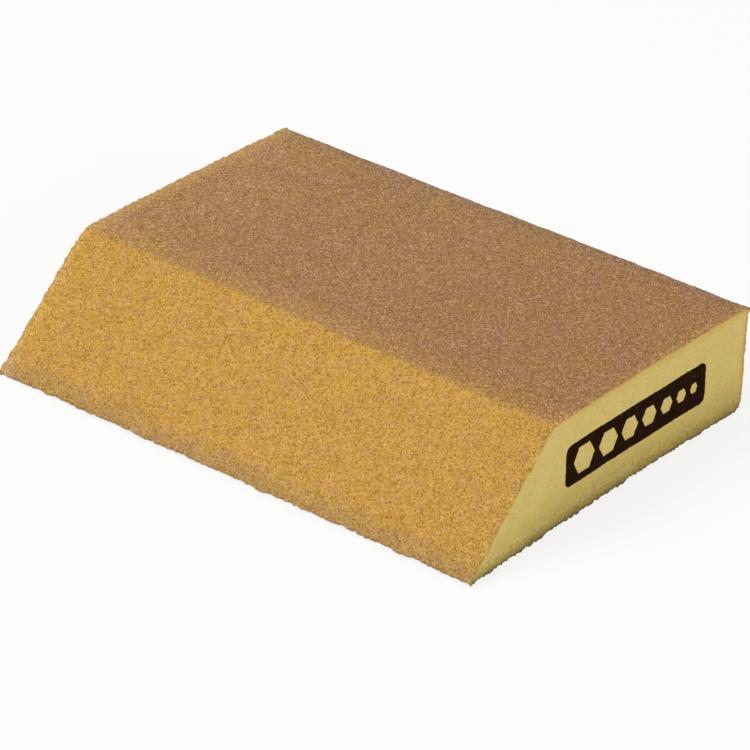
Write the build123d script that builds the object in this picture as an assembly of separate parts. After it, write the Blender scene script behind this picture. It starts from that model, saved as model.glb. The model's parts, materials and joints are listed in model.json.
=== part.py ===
"""Angled sanding sponge: a flexible foam block with one bevelled long side.

The block is a prism along X. Its flat underside lies on Z = 0, the bevel faces -Y and the
square back faces +Y. Both ends are bare sawn foam. The four long sides carry an abrasive
coat in two layers: a bond coat of flexible resin on the foam, and a grit coat of abrasive
grain on the bond. The upper and lower coats are flat sheets. The bevel coat and the back
coat are laid on later, so they wrap round the long edges and butt against the flat sheets.
A stamped ink panel lies flush in the foam of the +X end.

Units are millimetres. The origin is the centre of the underside.
"""

import math
import os

from build123d import *

# Overall sizes, over the coats
block_length = 125.0
block_width = 90.0
block_height = 24.0
bevel_angle = 41.4  # between the bevel and the underside, in degrees

# Coats
bond_thickness = 0.15
grit_thickness = 0.35

# Rounding of the foam's long edges, which the coats carry outwards by their thickness
foam_toe_radius = 0.1  # the acute edge between the bevel and the underside
foam_edge_radius = 0.3  # the other three edges

# Stamped ink panel on the +X end
panel_length = 46.0
panel_height = 9.4
panel_corner_radius = 1.6
panel_shift = 8.6  # from the middle of the width, towards the back
ink_depth = 0.3

# Row of bare hexagons left open in the ink, graded from coarse to fine
mark_count = 7
mark_margin = 1.3  # ink left at each end of the row
coarse_mark_height = 6.0
fine_mark_height = 2.2

# Worked out from the sizes above
coat_thickness = bond_thickness + grit_thickness
half_length = block_length / 2
half_width = block_width / 2
bevel = math.radians(bevel_angle)
toe_radius = foam_toe_radius + coat_thickness
edge_radius = foam_edge_radius + coat_thickness

# Where the roundings meet the flats, which is the same for every layer of the coats
toe_centre_y = -half_width + toe_radius
back_centre_y = half_width - edge_radius
toe_y = toe_centre_y - toe_radius / math.tan(bevel / 2)  # sharp toe of the bevel, on Z = 0
shoulder_y = toe_y + block_height / math.tan(bevel)  # sharp upper edge of the bevel
shoulder_centre_y = shoulder_y + edge_radius * math.tan(bevel / 2)


def section(inset):
    """Cross-section of the block, taken in by inset on all four long sides."""
    low = inset
    high = block_height - inset
    back = half_width - inset
    toe = toe_y + inset / math.sin(bevel)
    corners = [
        (toe + low / math.tan(bevel), low),
        (back, low),
        (back, high),
        (toe + high / math.tan(bevel), high),
    ]
    sharp = make_face(Polyline(*corners, close=True))
    rounded = fillet(sharp.vertices().sort_by(Axis.X)[1:], edge_radius - inset)
    return fillet(rounded.vertices().sort_by(Axis.X)[0], toe_radius - inset)


def prism(outline):
    """The full-length bar with this cross-section, its ends square."""
    placed = Plane.YZ.offset(-half_length) * outline
    return extrude(placed, block_length)


def band(y_from, y_to, z_from, z_to):
    """A rectangle of the cross-section plane, given by its edges."""
    centre = Location(((y_from + y_to) / 2, (z_from + z_to) / 2))
    return centre * Rectangle(y_to - y_from, z_to - z_from)


def coat_sides():
    """The region of the cross-section that each side's coat takes."""
    top = band(shoulder_centre_y, back_centre_y, block_height - coat_thickness, block_height)
    bottom = band(toe_centre_y, back_centre_y, 0, coat_thickness)
    back = band(back_centre_y, half_width, 0, block_height)
    whole = band(-half_width, half_width, 0, block_height)
    return {"top": top, "bottom": bottom, "back": back, "bevel": whole - top - bottom - back}


def coat_layer(outer_inset, thickness):
    """One layer of the coats as four solids, keyed by side."""
    ring = section(outer_inset) - section(outer_inset + thickness)
    return {side: prism(ring & region) for side, region in coat_sides().items()}


def graded_marks():
    """The hexagons of the ink panel, coarse to fine, evenly spaced by their gaps."""
    step = (coarse_mark_height - fine_mark_height) / (mark_count - 1)
    heights = [coarse_mark_height - step * i for i in range(mark_count)]
    widths = [h / math.cos(math.radians(30)) for h in heights]
    gap = (panel_length - 2 * mark_margin - sum(widths)) / (mark_count + 1)
    marks = []
    along = -panel_length / 2 + mark_margin
    for width in widths:
        along += gap
        marks.append(Pos(along + width / 2, 0) * RegularPolygon(width / 2, 6))
        along += width
    return marks


def ink_panel():
    """The stamped panel, sunk flush in the +X end."""
    outline = RectangleRounded(panel_length, panel_height, panel_corner_radius)
    outline = outline - graded_marks()
    seat = Plane.YZ.offset(half_length - ink_depth)
    placed = seat * (Pos(panel_shift, block_height / 2) * outline)
    return extrude(placed, ink_depth)


def build():
    """Every piece of the block, keyed by its node's name."""
    panel = ink_panel()
    pieces = {"end_print": panel, "foam_core": prism(section(coat_thickness)) - panel}
    for side, solid in coat_layer(grit_thickness, bond_thickness).items():
        pieces[f"{side}_bond_coat"] = solid
    for side, solid in coat_layer(0, grit_thickness).items():
        pieces[f"{side}_grit_coat"] = solid
    return pieces


os.makedirs("parts", exist_ok=True)
for node, shape in build().items():
    export_step(shape, f"parts/{node}.step")
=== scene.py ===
"""Looks of an angled sanding sponge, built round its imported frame.

The sponge is a sawn foam block with a grain coat on each of its four long sides. Each coat is
a grain sheet over a thin sheet of resin. All pieces are made in the frame's own place, in
metres, and then bent and worn together, because both ends were sawn with the same bent blade.
"""

import itertools
import json
import math

import bpy
import numpy as np
from mathutils import Matrix, Vector


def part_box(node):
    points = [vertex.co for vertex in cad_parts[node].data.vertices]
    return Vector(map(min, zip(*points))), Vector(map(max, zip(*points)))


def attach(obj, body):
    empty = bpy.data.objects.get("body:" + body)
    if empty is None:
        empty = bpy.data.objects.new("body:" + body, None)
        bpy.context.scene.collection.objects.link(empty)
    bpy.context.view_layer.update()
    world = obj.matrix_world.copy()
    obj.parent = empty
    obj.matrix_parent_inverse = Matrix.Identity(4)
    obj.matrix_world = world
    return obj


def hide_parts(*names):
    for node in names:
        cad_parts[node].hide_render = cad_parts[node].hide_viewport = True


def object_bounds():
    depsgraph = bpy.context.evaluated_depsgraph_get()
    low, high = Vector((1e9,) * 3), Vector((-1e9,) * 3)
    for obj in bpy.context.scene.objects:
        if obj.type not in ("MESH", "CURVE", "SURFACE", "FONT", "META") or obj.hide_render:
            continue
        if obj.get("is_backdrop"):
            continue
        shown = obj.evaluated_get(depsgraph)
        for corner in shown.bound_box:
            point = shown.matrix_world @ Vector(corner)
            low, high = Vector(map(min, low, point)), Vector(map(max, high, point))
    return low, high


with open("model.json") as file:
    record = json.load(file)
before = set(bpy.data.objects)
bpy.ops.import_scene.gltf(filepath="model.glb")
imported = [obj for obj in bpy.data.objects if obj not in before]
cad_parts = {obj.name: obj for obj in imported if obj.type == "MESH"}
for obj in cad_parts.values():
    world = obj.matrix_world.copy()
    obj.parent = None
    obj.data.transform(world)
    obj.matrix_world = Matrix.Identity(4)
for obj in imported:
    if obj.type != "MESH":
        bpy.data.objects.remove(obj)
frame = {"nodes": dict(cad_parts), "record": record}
cad_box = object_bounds()

mm = 0.001

# ---------------------------------------------------------------- sizes read from the frame
block_low, block_high = cad_box
underside_low, underside_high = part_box("bottom_grit_coat")
under_bond_low, under_bond_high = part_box("bottom_bond_coat")
half_length = block_high.x
block_height = block_high.z
grit_thickness = underside_high.z - underside_low.z
bond_thickness = under_bond_high.z - under_bond_low.z
toe_radius = underside_low.y - block_low.y
edge_radius = block_high.y - underside_high.y
mounts = {mount["name"]: mount for mount in frame["record"]["mounts"]}
bevel_normal = mounts["bevel_face"]["axis"]
bevel_turn = math.atan2(bevel_normal[2], bevel_normal[1])

# ---------------------------------------------------------------- sizes of the surfaces
saw_bow = 0.85 * mm  # how far the middle of the width is sawn past the two sides
saw_lean = 0.65 * mm  # how far the -X end leans in, from its foot to its top
lean_height = 0.55  # where on its height that end stays put, as a share
back_lean = 0.65 * mm  # how far the foot of the back is drawn in
toe_skew = 0.33 * mm  # how far the toe runs out of true at either end
side_fade = 4  # how soon the back's lean and the toe's skew fade towards the middle: a power
corner_reach = 1.6 * mm  # how far a worn corner's rounding reaches
column_pitch = {"top": 0.3 * mm, "bevel": 0.3 * mm, "back": 0.3 * mm, "bottom": 0.46 * mm}
row_pitch = {"top": 0.3 * mm, "bevel": 0.26 * mm, "back": 0.3 * mm, "bottom": 0.28 * mm}
lump_size = 0.42 * mm  # a clump of grains that stands out of the coat
lump_height = 0.12 * mm
grain_size = 0.27 * mm  # one grain
grain_rim = 0.22 * mm  # how far a sheet's rim bulges past its edge
resin_rim = 0.06 * mm
back_step = 12  # a sheet's hidden face keeps every so many of its places
foam_pitch = 0.3 * mm
pore_size = 0.75 * mm  # the larger open cells of the foam
pore_depth = 0.13 * mm
pore_width = 0.55  # as a share of pore_size
closed_share = 0.45  # of the larger cells, those that the cut didn't open
cell_size = 0.42 * mm  # the fine cells that show only in the finish
ink_pitch = 0.2 * mm
ink_depth = 0.25 * mm  # under the foam's sawn face
ink_stand = 0.05 * mm  # over it
map_margin = 0.01  # bare border of a piece's flat map, as a share of the map
fold = 0.6 * mm  # width of one strip of a sheet's rim on its map
map_gap = 2 * mm  # between the parts of the map of a piece cut along an outline
end_tear = {"top": 0.45 * mm, "bevel": 0.9 * mm, "back": 0.14 * mm, "bottom": 0.35 * mm}
end_spike = {"top": 0.32 * mm, "bevel": 0.6 * mm, "back": 0.42 * mm, "bottom": 0.42 * mm}

# The seed of each noise. Clumps and pores also draw on the three numbers after theirs, so the pores
# share two with the saw's waves and grain.
RIM_LOT, LUMPS, WAVES, SPIKES, RESIN_TOP = 6, 11, 12, 13, 17
TOE_COARSE, TOE_FINE, TOE_TEETH, TEAR_LONG, TEAR_SHORT = 21, 22, 23, 26, 27
DRIFTS, SIDEWAYS, CLUMPS, INK_RIM, PORES, SAW_WAVES, SAW_GRAIN = (31, 32, 33), 34, 40, 51, 60, 61, 62


# ---------------------------------------------------------------- noise on points
def hashed(corner, seed):
    """A number from 0 to 1 for each whole-numbered corner of a lattice."""
    primes = np.array([73856093, 19349663, 83492791])
    low_bits = 0xFFFFFFFF
    parts = corner.astype(np.int64) * primes
    key = (parts[..., 0] ^ parts[..., 1] ^ parts[..., 2] ^ (seed * 40503)) & low_bits
    key = ((key ^ (key >> 15)) * 0x2C1B3C6D) & low_bits
    key = ((key ^ (key >> 12)) * 0x297A2D39) & low_bits
    return (key ^ (key >> 15)) / (low_bits + 1.0)


def smooth_noise(points, size, seed):
    """Smooth noise from -1 to 1 whose features are about size across."""
    cell = points / size
    corner = np.floor(cell)
    share = cell - corner
    share = share * share * (3 - 2 * share)
    total = 0
    for step in itertools.product((0, 1), repeat=3):
        weight = np.prod(np.where(np.array(step) == 1, share, 1 - share), axis=-1)
        total = total + weight * hashed(corner + step, seed)
    return 2 * total - 1


def nearest_grain(points, size, seed):
    """The distance to the nearest grain's middle, as a share of size, and that grain's own number."""
    cell = points / size
    corner = np.floor(cell)
    nearest = np.full(points.shape[:-1], np.inf)
    own = np.zeros(points.shape[:-1])
    for step in itertools.product((-1, 0, 1), repeat=3):
        there = corner + step
        middle = there + np.stack([hashed(there, seed + axis) for axis in (1, 2, 3)], -1)
        distance = np.linalg.norm(cell - middle, axis=-1)
        closer = distance < nearest
        nearest = np.where(closer, distance, nearest)
        own = np.where(closer, hashed(there, seed), own)
    return nearest, own


def saw_curve(across):
    """How far the cut lies towards -X at this share of the half width. Its mean over the cut is nil."""
    return saw_bow * (1 / 3 - across * across)


def bowed(points):
    """The points after the bent cut, the lean of the -X end and the back, the toe's skew, and wear."""
    along, across, up = np.moveaxis(points / np.array([half_length, block_high.y, block_height]), -1, 0)
    moved = points.copy()
    moved[..., 0] -= saw_curve(across)
    moved[..., 0] += saw_lean * (up - lean_height) * np.clip(-along, 0, 1)
    moved[..., 1] -= back_lean * (1 - up) * np.clip(across, 0, 1) ** side_fade
    moved[..., 1] += toe_skew * (1 - up) * np.clip(-across, 0, 1) ** side_fade * along
    for place, shift in worn_corners:
        away = np.linalg.norm(points - np.array(place), axis=-1) / corner_reach
        moved += np.exp(-(away**2))[..., None] * np.array(shift) * mm
    return moved


# ---------------------------------------------------------------- coats
# A corner's place, and how far wear has moved it, in mm. The two upper back ones stand out.
shoulder_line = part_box("top_grit_coat")[0].y
worn_corners = [
    ((-half_length, block_high.y, block_height), (0.0, 0.1, 0.15)),
    ((half_length, block_high.y, block_height), (0.3, 0.25, -0.05)),
    ((-half_length, shoulder_line, block_height), (0.05, 0.0, -0.1)),
    ((half_length, shoulder_line, block_height), (-0.3, 0.1, -0.4)),
]
for side in (-1, 1):
    worn_corners += [
        ((side * half_length, block_high.y, 0.0), (-0.3 * side, -0.36, 0.36)),
        ((side * half_length, block_low.y, toe_radius), (0.05 * side, -0.25, 0.0)),
    ]

# A stop on a coat's profile is a rounding's centre y and z, its radius, and the normal's turn.
UP, BACKWARD, DOWN = math.pi / 2, 0.0, -math.pi / 2
toe = (underside_low.y, toe_radius, toe_radius)
shoulder = (shoulder_line, block_height - edge_radius, edge_radius)
upper_back = (underside_high.y, block_height - edge_radius, edge_radius)
lower_back = (underside_high.y, edge_radius, edge_radius)
profiles = {
    "bevel": [(*toe, DOWN + 2 * math.pi), (*toe, bevel_turn), (*shoulder, bevel_turn), (*shoulder, UP)],
    "top": [(*shoulder, UP), (*upper_back, UP)],
    "back": [(*upper_back, UP), (*upper_back, BACKWARD), (*lower_back, BACKWARD), (*lower_back, DOWN)],
    "bottom": [(*lower_back, DOWN), (*toe, DOWN)],
}


def stations(stops, pitch):
    """Evenly spaced stops along a coat's profile."""
    made = [np.array(stops[0])]
    for start, end in zip(np.array(stops[:-1]), np.array(stops[1:])):
        run = np.hypot(*(end - start)[:2]) + start[2] * abs(end[3] - start[3])
        steps = max(1, round(run / pitch))
        made += [start + (end - start) * i / steps for i in range(1, steps + 1)]
    return np.array(made)


def layer(columns, profile, inset):
    """Points of the surface this far under the coat's face: one row of the array per column."""
    normals = np.stack([np.cos(profile[:, 3]), np.sin(profile[:, 3])], -1)
    reach = profile[:, 2] - inset
    points = np.zeros((len(columns), len(profile), 3))
    points[..., 0] = columns[:, None]
    points[..., 1:] = profile[:, :2] + normals * reach[..., None]
    return points


def grain_relief(points, end_spike):
    """How far the coat's face stands out at each point: grains, and the uneven foam under them."""
    least_height = 0.35  # of a clump, as a share of the tallest
    distance, own = nearest_grain(points, lump_size, CLUMPS)
    grains = lump_height * (least_height + (1 - least_height) * own) * np.clip(1 - distance, 0, 1)
    lumps = 0.05 * mm * smooth_noise(points, 1.5 * mm, LUMPS)
    waves = 0.05 * mm * smooth_noise(points, 11 * mm, WAVES)
    spikes = end_spike * np.clip(smooth_noise(points, 0.62 * mm, SPIKES), -0.3, 1)
    return grains - 0.5 * lump_height + lumps + waves + near_end(points, 0.7 * mm) * spikes


def near_end(points, reach):
    """1 at either sawn end, and about 0 once the end is further off than reach."""
    to_end = half_length - np.abs(points[..., 0])
    return np.exp(-((to_end / reach) ** 2))


def ragged_end(points, amount):
    """The uneven end of a coat, as a shift of each point along X: mostly torn back from the cut."""
    around = points * np.array([0, 1, 1]) + np.sign(points) * np.array([half_length, 0, 0])
    long_wave = smooth_noise(around, 4.2 * mm, TEAR_LONG)
    wander = long_wave + 0.36 * smooth_noise(around, 1.2 * mm, TEAR_SHORT)
    shift = np.zeros_like(points)
    cleaner_cut = 0.4  # the -X end is torn less
    furthest_out = 0.2  # as a share of amount
    amount = amount * np.where(points[..., 0] > 0, 1, cleaner_cut)
    outward = np.sign(points[..., 0]) * near_end(points, 2 * mm)
    shift[..., 0] = outward * amount * np.minimum(wander, furthest_out)
    return shift


def toe_lumps(points):
    """The ragged nose of the toe, as a shift of each point towards -Y."""
    reach = 1.5 * mm
    near = np.exp(-(np.hypot(points[..., 1] - toe[0], points[..., 2] - toe[1]) / reach) ** 2)
    along = points * np.array([1, 0, 0])
    coarse = smooth_noise(along, 2.3 * mm, TOE_COARSE)
    fine = smooth_noise(points, 0.9 * mm, TOE_FINE)
    teeth = smooth_noise(points, 0.5 * mm, TOE_TEETH)
    shift = np.zeros_like(points)
    shift[..., 1] = -near * mm * (0.2 * coarse + 0.36 * fine + 0.24 * teeth)
    return shift


def creep(points):
    """A small drift of each point in the coat's own plane, so that no edge or row is straight."""
    drift = np.stack([smooth_noise(points, 0.5 * mm, seed) for seed in DRIFTS], -1) * 0.07 * mm
    drift[..., 1] += 0.12 * mm * smooth_noise(points * np.array([1, 0, 0]), 4 * mm, SIDEWAYS)
    return drift


def perimeter(columns, rows):
    """Grid places round a sheet's edge, in order."""
    return (
        [(i, 0) for i in range(columns - 1)]
        + [(columns - 1, j) for j in range(rows - 1)]
        + [(i, rows - 1) for i in range(columns - 1, 0, -1)]
        + [(0, j) for j in range(rows - 1, 0, -1)]
    )


def thinned(count, step, kept=()):
    """Every step-th place of a row, with both ends and the kept ones."""
    return sorted({*range(0, count, step), count - 1, *kept})


def edge_run(start, end, on_rim):
    """Places from start to just before end: all of them on the rim, else only the first."""
    if not on_rim:
        return [start]
    step = 1 if end > start else -1
    return list(range(start, end, step))


def back_cells(columns, rows, kept_columns, kept_rows):
    """Cells of the hidden inner face, coarse inside, each with every rim place it touches."""
    cells = []
    for left, right in zip(kept_columns, kept_columns[1:]):
        for low, high in zip(kept_rows, kept_rows[1:]):
            cell = [(i, low) for i in edge_run(left, right, low == 0)]
            cell += [(right, j) for j in edge_run(low, high, right == columns - 1)]
            cell += [(i, high) for i in edge_run(right, left, high == rows - 1)]
            cell += [(left, j) for j in edge_run(high, low, left == 0)]
            cells.append(cell[::-1])
    return cells


def new_piece(name, points, faces, corner_places, finish, flat):
    """A mesh object from points and faces, with a flat map of it kept for its finish."""
    mesh = bpy.data.meshes.new(name)
    mesh.from_pydata(points.tolist(), [], faces)
    places = np.array(corner_places, np.float32)
    places -= places.min(0)
    places = map_margin + (1 - 2 * map_margin) * places / places.max()
    mesh.uv_layers.new(name="OFBake").data.foreach_set("uv", places.ravel())
    mesh.polygons.foreach_set("use_smooth", [not flat] * len(mesh.polygons))
    mesh.materials.append(finish)
    mesh.validate()
    piece = bpy.data.objects.new(name, mesh)
    bpy.context.scene.collection.objects.link(piece)
    return piece


def shell(name, face, back, rim_reach, runs, kept_rows, finish, flat=True):
    """A closed sheet between a fine face and a coarse back, with a ragged rim round its edge."""
    columns, rows = face.shape[:2]
    count = columns * rows
    number = np.arange(count).reshape(columns, rows)
    quads = np.stack([number[:-1, :-1], number[1:, :-1], number[1:, 1:], number[:-1, 1:]], -1)
    faces = quads.reshape(-1, 4).tolist()

    rim = perimeter(columns, rows)
    at = tuple(np.array(rim).T)
    steps = np.stack([(at[0] == columns - 1) * 1 - (at[0] == 0), (at[1] == rows - 1) * 1 - (at[1] == 0)], -1)
    middle = (face[at] + back[at]) / 2
    plane, least_bulge = 5, 0.3  # the lots' own plane of the lattice, and the least share of the reach
    lot = hashed(np.array([(*place, plane) for place in rim]), RIM_LOT)
    middle[:, 0] += steps[:, 0] * rim_reach * (least_bulge + (1 - least_bulge) * lot)
    points = [face.reshape(-1, 3), middle, back[at]]
    first_middle, first_back = count, count + len(rim)
    for k in range(len(rim)):
        after = (k + 1) % len(rim)
        here, there = int(number[rim[k]]), int(number[rim[after]])
        faces.append([there, here, first_middle + k, first_middle + after])
        faces.append([first_middle + after, first_middle + k, first_back + k, first_back + after])

    numbered = {place: first_back + k for k, place in enumerate(rim)}
    kept_columns = thinned(columns, back_step)
    inside = [(i, j) for i in kept_columns for j in kept_rows if (i, j) not in numbered]
    for place in inside:
        numbered[place] = first_back + len(numbered)
    points.append(np.array([back[place] for place in inside]).reshape(-1, 3))
    cells = back_cells(columns, rows, kept_columns, kept_rows)
    faces += [[numbered[place] for place in cell] for cell in cells]

    # The map: the face as it lies, its rim folded out round it, and the back small to one side.
    lie = np.stack(np.broadcast_arrays(runs[0][:, None], runs[1][None, :]), -1)
    folded = [lie.reshape(-1, 2), lie[at] + steps * fold, lie[at] + steps * 2 * fold]
    mapped = np.concatenate([*folded, np.array([lie[p] for p in inside]).reshape(-1, 2)])
    shown = mapped[np.concatenate(faces[: -len(cells)])]
    back_share, back_gap = 0.1, 3 * mm
    small = np.array([lie[place] for cell in cells for place in cell]) * back_share
    small += np.array([lie[..., 0].max() + back_gap, 0]) - small.min(0)
    placed = bowed(np.concatenate(points))
    return new_piece(name, placed, faces, np.concatenate([shown, small]), finish, flat)


def coat_pieces(side, grain_finish, resin_finish):
    """A side's two sheets: the grain, and the resin under it."""
    profile = stations(profiles[side], row_pitch[side])
    count = round(2 * half_length / column_pitch[side]) + 1
    columns = np.linspace(-half_length, half_length, count)
    turns = profile[:, 3]
    bends = [j for j in range(1, len(turns)) if turns[j] != turns[j - 1]]
    kept = thinned(len(profile), back_step, bends + [j - 1 for j in bends])
    flat = layer(columns, profile, 0)
    normals = layer(columns, profile, -1) - flat
    between = layer(columns, profile, grit_thickness)
    resin_swell = 0.25 * grit_thickness
    wander = resin_swell * smooth_noise(between, 1.4 * mm, RESIN_TOP)
    between = between + normals * wander[..., None]
    under = layer(columns, profile, grit_thickness + bond_thickness)
    spacing = np.linalg.norm(np.diff(flat[0], axis=0), axis=1)
    runs = (columns, np.concatenate([[0], np.cumsum(spacing)]))
    shifts = creep(flat) + toe_lumps(flat) + ragged_end(flat, end_tear[side])
    face = flat + normals * grain_relief(flat, end_spike[side])[..., None] + shifts
    grain = shell(f"{side}_grain", face, between + shifts, grain_rim, runs, kept, grain_finish)
    resin = shell(f"{side}_resin", between + shifts, under, resin_rim, runs, kept, resin_finish, False)
    return grain, resin


# ---------------------------------------------------------------- sawn ends and ink
def end_outline(node, side):
    """The closed edges of a node's flat end, as pairs of (y, z) points."""
    mesh = frame["nodes"][node].data
    place = side * max(side * v.co.x for v in mesh.vertices)
    spot = [(round(v.co.y, 7), round(v.co.z, 7)) for v in mesh.vertices]
    closeness = 0.001 * mm
    on_end = [abs(v.co.x - place) < closeness for v in mesh.vertices]
    seen = {}
    for polygon in mesh.polygons:
        if all(on_end[v] for v in polygon.vertices):
            ring = [spot[v] for v in polygon.vertices]
            for start, end in zip(ring, ring[1:] + ring[:1]):
                seen[frozenset((start, end))] = seen.get(frozenset((start, end)), 0) + 1
    return np.array([sorted(edge) for edge, times in seen.items() if times == 1 and len(edge) == 2])


def outline_distance(places, edges):
    """Distance of (y, z) places from an outline, below zero inside it."""
    starts, ends = edges[:, 0], edges[:, 1]
    along = ends - starts
    nearest = np.full(len(places), np.inf)
    crossings = np.zeros(len(places), int)
    for start, way, end in zip(starts, along, ends):
        share = np.clip((places - start) @ way / (way @ way), 0, 1)
        nearest = np.minimum(nearest, np.linalg.norm(places - start - share[:, None] * way, axis=1))
        spans = (start[1] > places[:, 1]) != (end[1] > places[:, 1])
        rise = way[1] if way[1] else 1.0
        reach = start[0] + (places[:, 1] - start[1]) / rise * way[0]
        crossings += spans & (places[:, 0] < reach)
    return np.where(crossings % 2 == 1, -nearest, nearest)


def cut_sheet(edges, pitch, ragged):
    """A square grid cut along an outline: its (y, z) points and its polygons."""
    low, high = edges.reshape(-1, 2).min(0) - pitch, edges.reshape(-1, 2).max(0) + pitch
    counts = np.ceil((high - low) / pitch).astype(int) + 1
    grid = low + np.stack(np.meshgrid(*[np.arange(c) for c in counts], indexing="ij"), -1) * pitch
    flat = grid.reshape(-1, 2)
    level = outline_distance(flat, edges)
    level = level + ragged * smooth_noise(np.column_stack([flat, flat[:, 0] * 0]), 0.5 * mm, INK_RIM)
    least = 0.12 * pitch  # so that no cell is cut to a sliver
    level = np.where(np.abs(level) < least, np.copysign(least, level), level).reshape(counts)
    points, found, polygons = [], {}, []

    def point(key, place):
        if key not in found:
            found[key] = len(points)
            points.append(place)
        return found[key]

    for i, j in zip(*np.nonzero(np.ones(counts - 1))):
        ring = [(i, j), (i + 1, j), (i + 1, j + 1), (i, j + 1)]
        polygon = []
        for here, there in zip(ring, ring[1:] + ring[:1]):
            if level[here] < 0:
                polygon.append(point(here, grid[here]))
            if (level[here] < 0) != (level[there] < 0):
                share = level[here] / (level[here] - level[there])
                place = grid[here] + share * (grid[there] - grid[here])
                polygon.append(point(frozenset((here, there)), place))
        if polygon:
            polygons.append(polygon)
    return np.array(points), polygons


def slab(name, sheet, front_x, back_x, finish, flat=False):
    """A closed piece between two copies of a cut sheet, at their own places along X."""
    places, polygons = sheet
    count = len(places)
    front = np.column_stack([front_x, places])
    back = np.column_stack([back_x, places])
    sides = {(a, b) for polygon in polygons for a, b in zip(polygon, polygon[1:] + polygon[:1])}
    walls = [(a, b) for a, b in sorted(sides) if (b, a) not in sides]
    faces = polygons + [[count + v for v in polygon[::-1]] for polygon in polygons]
    faces += [[b, a, count + a, count + b] for a, b in walls]
    drop = np.array([0, places[:, 1].max() - places[:, 1].min() + map_gap])
    corners = [places[v] for polygon in polygons for v in polygon]
    corners += [places[v] - drop for polygon in polygons for v in polygon[::-1]]
    strip = places[:, 1].max() + map_gap
    for a, b in walls:
        corners += [(places[v][0], strip + depth * mm) for v, depth in ((b, 0), (a, 0), (a, 1), (b, 1))]
    return new_piece(name, bowed(np.concatenate([front, back])), faces, corners, finish, flat)


def sawn_face(places, side):
    """Where the foam's sawn end lies along X at these (y, z) places: saw marks and open cells."""
    points = np.column_stack([np.full(len(places), side * half_length), places])
    distance, own = nearest_grain(points, pore_size, PORES)
    pores = -pore_depth * np.clip(1 - distance / pore_width, 0, 1) * (own > closed_share)
    waves = 0.1 * mm * smooth_noise(points, 6 * mm, SAW_WAVES)
    waves = waves + 0.03 * mm * smooth_noise(points, 0.7 * mm, SAW_GRAIN)
    return side * (half_length + pores + waves)


# ---------------------------------------------------------------- finishes
class Link:
    """A socket that gives a value in a node tree. Arithmetic on it adds Math nodes."""

    def __init__(self, tree, socket):
        self.tree = tree
        self.socket = socket

    def output(self, name):
        """Another output of the same node."""
        return Link(self.tree, self.socket.node.outputs[name])

    def math(self, operation, *values):
        return self.tree.add("ShaderNodeMath", {"operation": operation}, dict(enumerate(values)))

    def larger(self, other):
        return self.math("MAXIMUM", self, other)

    def below(self, other):
        """1 where this is less than other, else 0."""
        return self.math("LESS_THAN", self, other)

    def __add__(self, other):
        return self.math("ADD", self, other)

    def __sub__(self, other):
        return self.math("SUBTRACT", self, other)

    def __rsub__(self, other):
        return self.math("SUBTRACT", other, self)

    def __mul__(self, other):
        return self.math("MULTIPLY", self, other)

    def __truediv__(self, other):
        return self.math("DIVIDE", self, other)

    __radd__ = __add__
    __rmul__ = __mul__


class NodeTree:
    """The nodes of a material or a world that is being made."""

    def __init__(self, owner):
        owner.use_nodes = True
        self.owner = owner
        self.nodes = owner.node_tree.nodes
        self.nodes.clear()

    def add(self, kind, settings=None, inputs=None):
        """A node with its settings, then its inputs as values or links. Gives its first output."""
        node = self.nodes.new(kind)
        for name, value in (settings or {}).items():
            if name == "stops":
                ramp = node.color_ramp
                while len(ramp.elements) < len(value):
                    ramp.elements.new(0.5)
                for element, (position, tone) in zip(ramp.elements, value):
                    element.position = position
                    element.color = tone
            else:
                setattr(node, name, value)
        for name, value in (inputs or {}).items():
            socket = self.find(node.inputs, name)
            if isinstance(value, Link):
                self.owner.node_tree.links.new(value.socket, socket)
            else:
                socket.default_value = value
        return Link(self, node.outputs[0]) if len(node.outputs) else node

    @staticmethod
    def find(sockets, name):
        """An input by its number, or by its name among those that are in use."""
        if isinstance(name, int):
            return sockets[name]
        return next(s for s in sockets if s.name == name and s.enabled)

    def seen(self, path):
        """1 where the camera, a reflection or clear matter shows it, and 0 for all other light."""
        bounced = path.output("Is Glossy Ray").larger(path.output("Is Transmission Ray"))
        return path.output("Is Camera Ray").larger(bounced)

    def either(self, share, first, second):
        """Two shaders mixed."""
        return self.add("ShaderNodeMixShader", {}, {0: share, 1: first, 2: second})


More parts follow.
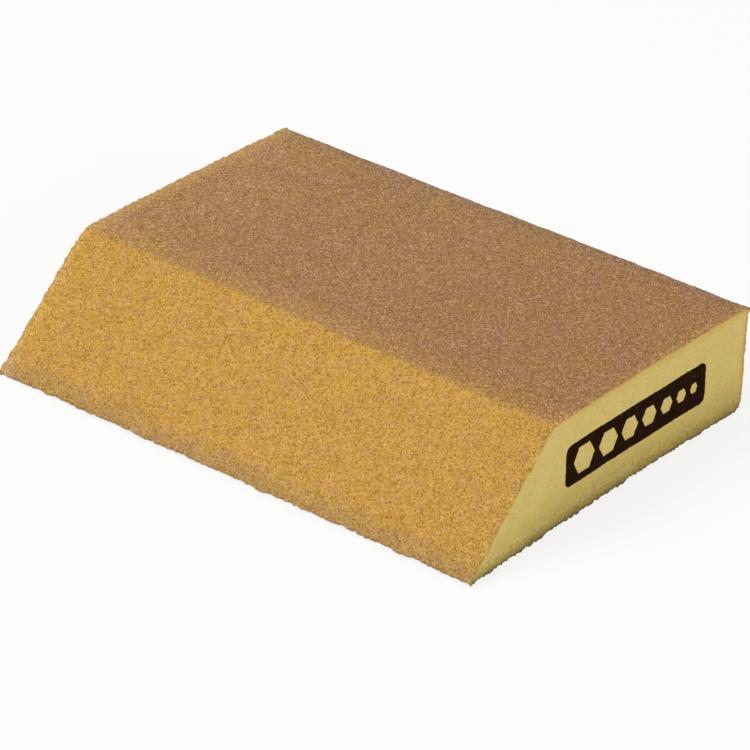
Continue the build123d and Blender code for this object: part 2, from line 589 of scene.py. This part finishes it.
class Finish(NodeTree):
    """A material that is being made, with the place of the shaded point at hand."""

    def __init__(self, name):
        super().__init__(bpy.data.materials.new(name))
        self.place = self.add("ShaderNodeTexCoord").output("Object")
        parts = self.add("ShaderNodeSeparateXYZ", {}, {"Vector": self.place})
        self.x, self.y, self.z = [parts.output(axis) for axis in "XYZ"]

    def noise(self, size, detail=2.0, roughness=0.5):
        """Smooth noise, about 0.5 on average, with features about size across."""
        inputs = {"Vector": self.place, "Scale": 1 / size, "Detail": detail, "Roughness": roughness}
        return self.add("ShaderNodeTexNoise", {}, inputs)

    def cells(self, size):
        """Cells about size across: the distance from each one's middle, and its own three numbers."""
        inputs = {"Vector": self.place, "Scale": 1 / size}
        distance = self.add("ShaderNodeTexVoronoi", {"voronoi_dimensions": "3D"}, inputs)
        numbers = self.add("ShaderNodeSeparateColor", {}, {"Color": distance.output("Color")})
        return distance, numbers, numbers.output("Green"), numbers.output("Blue")

    def ramp(self, factor, *stops):
        """A colour picked along a row of stops."""
        return self.add("ShaderNodeValToRGB", {"stops": stops}, {"Fac": factor})

    def fading(self, place, start, end, size, reach):
        """0 at start and 1 at end along one way, with a front that wanders by reach."""
        return self.rise(place + (self.noise(size, 3.0) - 0.5) * reach, start, end)

    def stain(self, amount, colour, base, target):
        """A colour moved as base would be to become target, its own light and dark grains kept."""
        change = [after / before for after, before in zip(target[:3], base[:3])]
        return self.tinted(colour, (*change, 1.0), amount)

    def along(self):
        """The place along X with the bend of the saw cut taken out, so that an end is one value."""
        return self.x + saw_curve(self.y / block_high.y)

    def rise(self, value, low, high):
        """0 where value is below low, 1 where it is above high, and smooth between."""
        inputs = {"Value": value, "From Min": low, "From Max": high}
        return self.add("ShaderNodeMapRange", {"interpolation_type": "SMOOTHSTEP"}, inputs)

    def mix(self, factor, first, second, mode="MIX"):
        """Two colours mixed."""
        settings = {"data_type": "RGBA", "blend_type": mode}
        node = self.add("ShaderNodeMix", settings, {"Factor": factor, "A": first, "B": second}).socket.node
        return Link(self, next(s for s in node.outputs if s.enabled))

    def tinted(self, colour, tint, amount=1.0):
        """A colour multiplied by another one."""
        return self.mix(amount, colour, tint, "MULTIPLY")

    def shade(self, colour, amount):
        """A colour made lighter or darker by a value that is 1 where it stays."""
        grey = self.add("ShaderNodeCombineColor", {}, {"Red": amount, "Green": amount, "Blue": amount})
        return self.tinted(colour, grey)

    def surface(self, colour, roughness, height, depth, **plain):
        """Ends the material: one plain shader with its colour, roughness and relief."""
        inputs = {name.replace("_", " "): value for name, value in plain.items()}
        inputs |= {"Base Color": colour, "Roughness": roughness}
        relief = {"Strength": 1.0, "Distance": depth, "Height": height}
        inputs["Normal"] = self.add("ShaderNodeBump", {}, relief)
        shader = self.add("ShaderNodeBsdfPrincipled", {}, inputs)
        self.add("ShaderNodeOutputMaterial", {}, {"Surface": shader})
        return self.owner


def tone(red, green, blue):
    """A colour written from 0 to 255, as it shows, turned into linear light."""
    shares = [value / 255 for value in (red, green, blue)]
    return (*[s / 12.92 if s <= 0.04045 else ((s + 0.055) / 1.055) ** 2.4 for s in shares], 1.0)


def grain_speckle(finish, stops, resin_tone, resin_share):
    """Grains of mixed colours bedded in resin: the colour, the relief, and two lots drawn per grain."""
    distance, own, second, third = finish.cells(grain_size)
    grains = finish.ramp(own, *stops)
    gap = finish.rise(distance, 0.5, 0.8) * resin_share
    bedded = finish.mix(gap, grains, resin_tone)
    relief = (1 - distance) * (0.5 + second) + finish.noise(grain_size * 0.5, 1.0) * 0.3
    return bedded, relief, second, third


def blotched(finish, colour, size, warm, cool, depth):
    """A colour with soft blotches: warmer and cooler ones, and lighter and darker ones."""
    tint = finish.mix(finish.rise(finish.noise(size, 3.0, 0.6), 0.3, 0.7), warm, cool)
    colour = finish.tinted(colour, tint)
    return finish.shade(colour, 1 - depth / 2 + depth * finish.noise(size * 0.7, 3.0, 0.6))


FACE_BROWN = tone(165, 126, 88)  # the brown coats on average
EDGE_GOLD = tone(201, 154, 76)  # the golden coats on average
CUT_BROWN_AND_SHADE = tone(102, 86, 40)  # the sawn edge of the underside's coat, with painted contact shade at the foot
WHITE = (1, 1, 1, 1)
FLOOR_WHITE = (0.97, 0.97, 0.97, 1)


def face_grain():
    """Dense brown grain of the two wide faces."""
    finish = Finish("face_grain")
    stops = [
        (0.0, tone(121, 84, 47)),
        (0.14, tone(145, 105, 64)),
        (0.5, tone(170, 127, 85)),
        (0.86, tone(191, 149, 105)),
        (1.0, tone(225, 185, 143)),
    ]
    colour, relief, lot, shine = grain_speckle(finish, stops, tone(167, 124, 75), 0.4)
    colour = blotched(finish, colour, 2.4 * mm, (1.0, 0.985, 1.05, 1), (1.0, 1.0, 0.9, 1), 0.36)
    colour = blotched(finish, colour, 11 * mm, (1.01, 0.985, 1.1, 1), (0.99, 1.0, 0.84, 1), 0.16)
    # Painted shade: the face darkens a little towards +X, standing in for lamp light that falls off.
    shade_to_right = finish.rise(finish.x, -15 * mm, half_length - 15 * mm)
    colour = finish.stain(shade_to_right, colour, FACE_BROWN, tone(162, 122, 84))

    # Gold grain from the bevel mixes in at the shoulder. Resin shows at the -X end, and painted light makes
    # the face lighter and more golden over its last 34 mm towards that end.
    upper = finish.rise(finish.z, block_height - 3 * mm, block_height - 2 * mm)
    scatter = finish.y + (lot - 0.5) * (0.8 * mm)
    at_shoulder = finish.fading(scatter, shoulder[0] + 0.7 * mm, shoulder[0] - 0.3 * mm, 1.5 * mm, 1.2 * mm)
    by_shoulder = finish.fading(finish.y, shoulder[0] + 10 * mm, shoulder[0], 3 * mm, 3 * mm)
    colour = finish.stain(upper * at_shoulder * 0.3, colour, FACE_BROWN, EDGE_GOLD)
    colour = finish.mix(upper * at_shoulder * 0.3, colour, EDGE_GOLD)
    colour = finish.stain(upper * by_shoulder * 0.3, colour, FACE_BROWN, EDGE_GOLD)
    left = finish.fading(finish.along(), 5 * mm - half_length, 0.3 * mm - half_length, 2 * mm, 2.4 * mm)
    # Painted light: lighter and more golden towards the -X end.
    light_to_left = finish.rise(finish.x, 34 * mm - half_length, 4 * mm - half_length)
    colour = finish.stain(left * 0.3, colour, FACE_BROWN, tone(206, 166, 104))
    colour = finish.mix(left * 0.35, colour, tone(203, 164, 105))
    colour = finish.stain(light_to_left * 0.13, colour, FACE_BROWN, tone(206, 160, 100))

    # Painted shade makes the back's edge darker and greyer, and the print's edge is yellower with foam and
    # resin.
    back_edge_shade = finish.fading(finish.y, block_high.y - 6 * mm, block_high.y - 1.5 * mm, 2 * mm, 3 * mm)
    colour = finish.stain(back_edge_shade * 0.35, colour, FACE_BROWN, tone(140, 116, 98))
    right = finish.fading(finish.along(), half_length - 3 * mm, half_length - 0.3 * mm, 1.5 * mm, 1.5 * mm)
    colour = finish.stain(upper * right * 0.28, colour, FACE_BROWN, tone(190, 150, 84))

    # The underside's coat is dark where the saw cut through it: partly its own cut edge, partly painted
    # contact shade at the foot.
    low = finish.rise(finish.z, 1.2 * mm, 0.7 * mm)
    cut = finish.fading(finish.along(), half_length - 0.9 * mm, half_length - 0.2 * mm, 0.6 * mm, 0.6 * mm)
    colour = finish.mix(low * cut * 0.93, colour, CUT_BROWN_AND_SHADE)
    return finish.surface(colour, 0.78 + 0.15 * shine, relief, 0.11 * mm, Specular_IOR_Level=0.3)


def edge_grain():
    """Golden grain of the bevel and the back, thinner, with more resin showing."""
    finish = Finish("edge_grain")
    stops = [
        (0.0, tone(146, 98, 26)),
        (0.12, tone(174, 125, 42)),
        (0.45, tone(201, 153, 69)),
        (0.88, tone(214, 167, 84)),
        (1.0, tone(226, 182, 106)),
    ]
    colour, relief, lot, shine = grain_speckle(finish, stops, tone(202, 152, 52), 0.5)
    colour = blotched(finish, colour, 3.4 * mm, (1.0, 0.965, 1.25, 1), (1.0, 1.01, 0.84, 1), 0.3)
    brown = finish.rise(finish.noise(0.9 * mm, 2.0), 0.54, 0.66)
    colour = finish.stain(brown * 0.45, colour, EDGE_GOLD, tone(180, 137, 92))
    yellow = finish.rise(finish.noise(1.1 * mm, 2.0), 0.44, 0.34)
    colour = finish.stain(yellow * 0.35, colour, EDGE_GOLD, tone(206, 158, 62))

    # Brown grain from the upper face mixes in at the shoulder, and the toe is greyer.
    scatter = finish.y + (lot - 0.5) * (0.8 * mm)
    at_shoulder = finish.fading(scatter, shoulder[0] - 0.7 * mm, shoulder[0] + 0.5 * mm, 1.5 * mm, 1.2 * mm)
    by_front = finish.rise(finish.y, 10 * mm, 0)
    colour = finish.stain(at_shoulder * by_front * 0.6, colour, EDGE_GOLD, FACE_BROWN)
    near_toe = finish.fading(finish.z, 5 * mm, 0.4 * mm, 2.6 * mm, 3 * mm)
    colour = finish.stain(near_toe * by_front * 0.6, colour, EDGE_GOLD, tone(170, 138, 98))
    left = finish.fading(finish.along(), 4 * mm - half_length, 0.3 * mm - half_length, 2 * mm, 2 * mm)
    colour = finish.stain(left * 0.5, colour, EDGE_GOLD, tone(224, 184, 106))
    # Painted shade: a little darker towards +X, standing in for lamp light that falls off.
    colour = finish.shade(colour, 0.99 - 0.015 * finish.rise(finish.x, 20 * mm, half_length))
    right = finish.fading(finish.along(), half_length - 1.8 * mm, half_length - 0.2 * mm, 1 * mm, 1 * mm)
    colour = finish.stain(right * 0.4, colour, EDGE_GOLD, tone(212, 178, 96))

    # At the back, brown grain turns down over the upper edge, and foam shows at the cut's upper half.
    behind = finish.rise(finish.y, block_high.y - 4 * mm, block_high.y - 2 * mm)
    over = finish.fading(finish.z, block_height - 1.6 * mm, block_height - 0.6 * mm, 1.5 * mm, 1 * mm)
    colour = finish.stain(behind * over * 0.9, colour, EDGE_GOLD, tone(146, 116, 84))
    high = finish.rise(finish.z, 8 * mm, 15 * mm)
    colour = finish.mix(behind * (high - over) * right * 0.55, colour, tone(184, 162, 88))
    return finish.surface(colour, 0.74 + 0.18 * shine, relief, 0.09 * mm, Specular_IOR_Level=0.3)


def resin():
    """Golden resin that beds the grain, dark along the underside: partly the sawn edge, partly painted
    contact shade.
    """
    finish = Finish("resin")
    colour = finish.mix(finish.noise(1.6 * mm, 3.0), tone(180, 140, 76), tone(206, 172, 100))
    # Darker low down: the sawn edge, and painted contact shade at the foot.
    colour = finish.mix(finish.rise(finish.z, 1.6 * mm, 0.6 * mm) * 0.75, colour, CUT_BROWN_AND_SHADE)
    return finish.surface(colour, 0.55 + 0.25 * finish.noise(0.6 * mm), finish.noise(0.4 * mm), 0.05 * mm)


def foam():
    """Sawn yellow foam: fine open cells, resin soaked in at its edges, dark grit specks low down, and
    painted shade that darkens it towards the bottom.
    """
    finish = Finish("foam")
    distance, own, second, _ = finish.cells(cell_size)
    colour = finish.mix(finish.noise(5 * mm, 3.0), tone(199, 175, 101), tone(209, 187, 113))
    colour = finish.shade(colour, 0.94 + 0.12 * second)
    hue = finish.rise(finish.noise(1.2 * mm, 3.0, 0.7), 0.3, 0.7)
    colour = finish.tinted(colour, finish.mix(hue, (1.01, 1, 0.93, 1), (0.99, 1, 1.07, 1)))
    soaked = finish.fading(finish.z, block_height - 2.6 * mm, block_height - 0.4 * mm, 1.8 * mm, 2 * mm)
    colour = finish.mix(soaked * 0.42, colour, tone(200, 150, 72))
    to_back = finish.fading(finish.y, block_high.y - 2.4 * mm, block_high.y - 0.4 * mm, 2.4 * mm, 1.8 * mm)
    half_down = 0.3 + 0.7 * finish.rise(finish.z, block_height * 0.7, block_height * 0.4)
    colour = finish.mix(to_back * half_down * 0.6, colour, tone(206, 150, 66))

    # Painted shade: the end darkens towards the bottom, less near the toe, and most in its lowest 3 mm.
    away_from_toe = 0.4 + 0.6 * finish.rise(finish.y, block_low.y + 5 * mm, block_low.y + 33 * mm)
    grey = finish.fading(finish.z, 12.5 * mm, -0.5 * mm, 4 * mm, 3 * mm)
    colour = finish.mix(grey * away_from_toe * 0.45, colour, tone(152, 137, 66))
    foot_shade = finish.fading(finish.z, 3.0 * mm, -0.1 * mm, 0.9 * mm, 2.6 * mm)
    colour = finish.mix(foot_shade * 0.7, colour, tone(116, 98, 46))
    specks = finish.rise(own, 0.6, 0.8) * finish.fading(finish.z, 7.5 * mm, 0.8 * mm, 1.4 * mm, 6 * mm)
    colour = finish.mix(specks * 0.45, colour, tone(124, 100, 52))
    return finish.surface(colour, 0.92, distance, 0.1 * mm, Specular_IOR_Level=0.1)


def ink():
    """Brown-black ink on open foam, thin where a cell wall stands up."""
    finish = Finish("ink")
    distance, own, _, _ = finish.cells(cell_size)
    colour = finish.mix(finish.noise(1.1 * mm), tone(26, 10, 2), tone(38, 21, 7))
    colour = finish.mix(finish.rise(own, 0.97, 0.99) * 0.2, colour, tone(96, 72, 34))
    return finish.surface(colour, 0.9, distance, 0.06 * mm, Specular_IOR_Level=0.03)


# ---------------------------------------------------------------- stage
def white_floor(height):
    """A wide white floor just under the lowest grains, with soft shadows on it.

    It is clear from below, and clear to light that goes from the block's underside to the room.
    """
    glow_share = 0.8  # of what is seen; the rest is matt and takes the shadows
    short_ray = 3 * mm  # a ray of light from the underside meets the floor within this
    reach = 6.0  # metres from the middle to each edge
    floor_finish = NodeTree(bpy.data.materials.new("floor"))
    path = floor_finish.add("ShaderNodeLightPath")
    matt = floor_finish.add("ShaderNodeBsdfDiffuse", {}, {"Color": FLOOR_WHITE})
    glow = floor_finish.add("ShaderNodeEmission", {}, {"Color": WHITE, "Strength": 1.0})
    lifted = floor_finish.either(floor_finish.seen(path) * glow_share, matt, glow)
    close = path.output("Ray Length").below(short_ray) * (1 - path.output("Is Camera Ray"))
    from_below = floor_finish.add("ShaderNodeNewGeometry").output("Backfacing")
    clear = floor_finish.add("ShaderNodeBsdfTransparent")
    shown = floor_finish.either(from_below.larger(close), lifted, clear)
    floor_finish.add("ShaderNodeOutputMaterial", {}, {"Surface": shown})
    corners = [(x * reach, y * reach, height) for x, y in ((-1, -1), (1, -1), (1, 1), (-1, 1))]
    mesh = bpy.data.meshes.new("floor")
    mesh.from_pydata(corners, [], [(0, 1, 2, 3)])
    mesh.materials.append(floor_finish.owner)
    floor = bpy.data.objects.new("floor", mesh)
    bpy.context.scene.collection.objects.link(floor)
    floor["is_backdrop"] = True


def soft_lamp(name, place, width, power):
    """A square lamp that faces the block, with its place and width in metres and its power in watts."""
    data = bpy.data.lights.new(name, "AREA")
    data.size = width
    data.energy = power
    lamp = bpy.data.objects.new(name, data)
    lamp.location = place
    lamp.rotation_mode = "QUATERNION"
    lamp.rotation_quaternion = (-Vector(place)).to_track_quat("-Z", "Y")
    bpy.context.scene.collection.objects.link(lamp)


def pale_world(strength):
    """Even light from all round, and plain white where the camera or a reflection shows it."""
    room = NodeTree(bpy.data.worlds.new("pale_room"))
    light = room.add("ShaderNodeBackground", {}, {"Color": WHITE, "Strength": strength})
    white = room.add("ShaderNodeBackground", {}, {"Color": WHITE, "Strength": 1.0})
    shown = room.either(room.seen(room.add("ShaderNodeLightPath")), light, white)
    room.add("ShaderNodeOutputWorld", {}, {"Surface": shown})
    bpy.context.scene.world = room.owner


def place_camera():
    """A long lens above the front right corner, turned slightly about its own line of sight."""
    azimuth, elevation, roll = math.radians(39.6), math.radians(29.83), math.radians(0.67)
    aim = Vector((6.329, -5.411, 8.272)) * mm
    distance = 808.1 * mm
    flat = math.cos(elevation)
    backward = Vector((math.sin(azimuth) * flat, -math.cos(azimuth) * flat, math.sin(elevation)))
    right = Vector((math.cos(azimuth), math.sin(azimuth), 0))
    up = backward.cross(right)
    level, upright = right.copy(), up.copy()
    right = level * math.cos(roll) + upright * math.sin(roll)
    up = upright * math.cos(roll) - level * math.sin(roll)
    data = bpy.data.cameras.new("camera")
    data.sensor_width = 36  # this and the lens are in Blender's millimetres
    data.lens = 189.4
    data.clip_start, data.clip_end = 0.01, 50
    camera = bpy.data.objects.new("camera", data)
    turn = Matrix((right, up, backward)).transposed().to_4x4()
    camera.matrix_world = Matrix.Translation(aim + backward * distance) @ turn
    bpy.context.scene.collection.objects.link(camera)
    bpy.context.scene.camera = camera


# ---------------------------------------------------------------- the block
def build_block():
    """Makes every piece and ties it to the frame."""
    grain_finishes = {"face_grit": face_grain(), "edge_grit": edge_grain()}
    slots = {"top": "face_grit", "bottom": "face_grit", "bevel": "edge_grit", "back": "edge_grit"}
    resin_finish = resin()
    for side, slot in slots.items():
        grain, under = coat_pieces(side, grain_finishes[slot], resin_finish)
        tie(grain, f"{side}_grit_coat")
        tie(under, f"{side}_bond_coat")

    sheet = cut_sheet(end_outline("foam_core", -1), foam_pitch, 0)
    block = slab("foam_block", sheet, sawn_face(sheet[0], 1), sawn_face(sheet[0], -1), foam())
    tie(block, "foam_core")

    ragged_ink = 0.05 * mm
    print_sheet = cut_sheet(end_outline("end_print", 1), ink_pitch, ragged_ink)
    surface = sawn_face(print_sheet[0], 1)
    panel = slab("ink_panel", print_sheet, surface + ink_stand, surface - ink_depth, ink())
    tie(panel, "end_print")


def tie(piece, node):
    """The piece rides on the frame and stands for its node."""
    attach(piece, "root")
    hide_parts(node)


build_block()
white_floor(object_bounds()[0].z)
pale_world(strength=0.5)
soft_lamp("key", place=(-0.7, -0.9, 1.3), width=0.9, power=14.3)
soft_lamp("side", place=(1.5, -0.3, 0.5), width=0.8, power=8.6)
place_camera()
bpy.context.scene.view_settings.view_transform = "Standard"
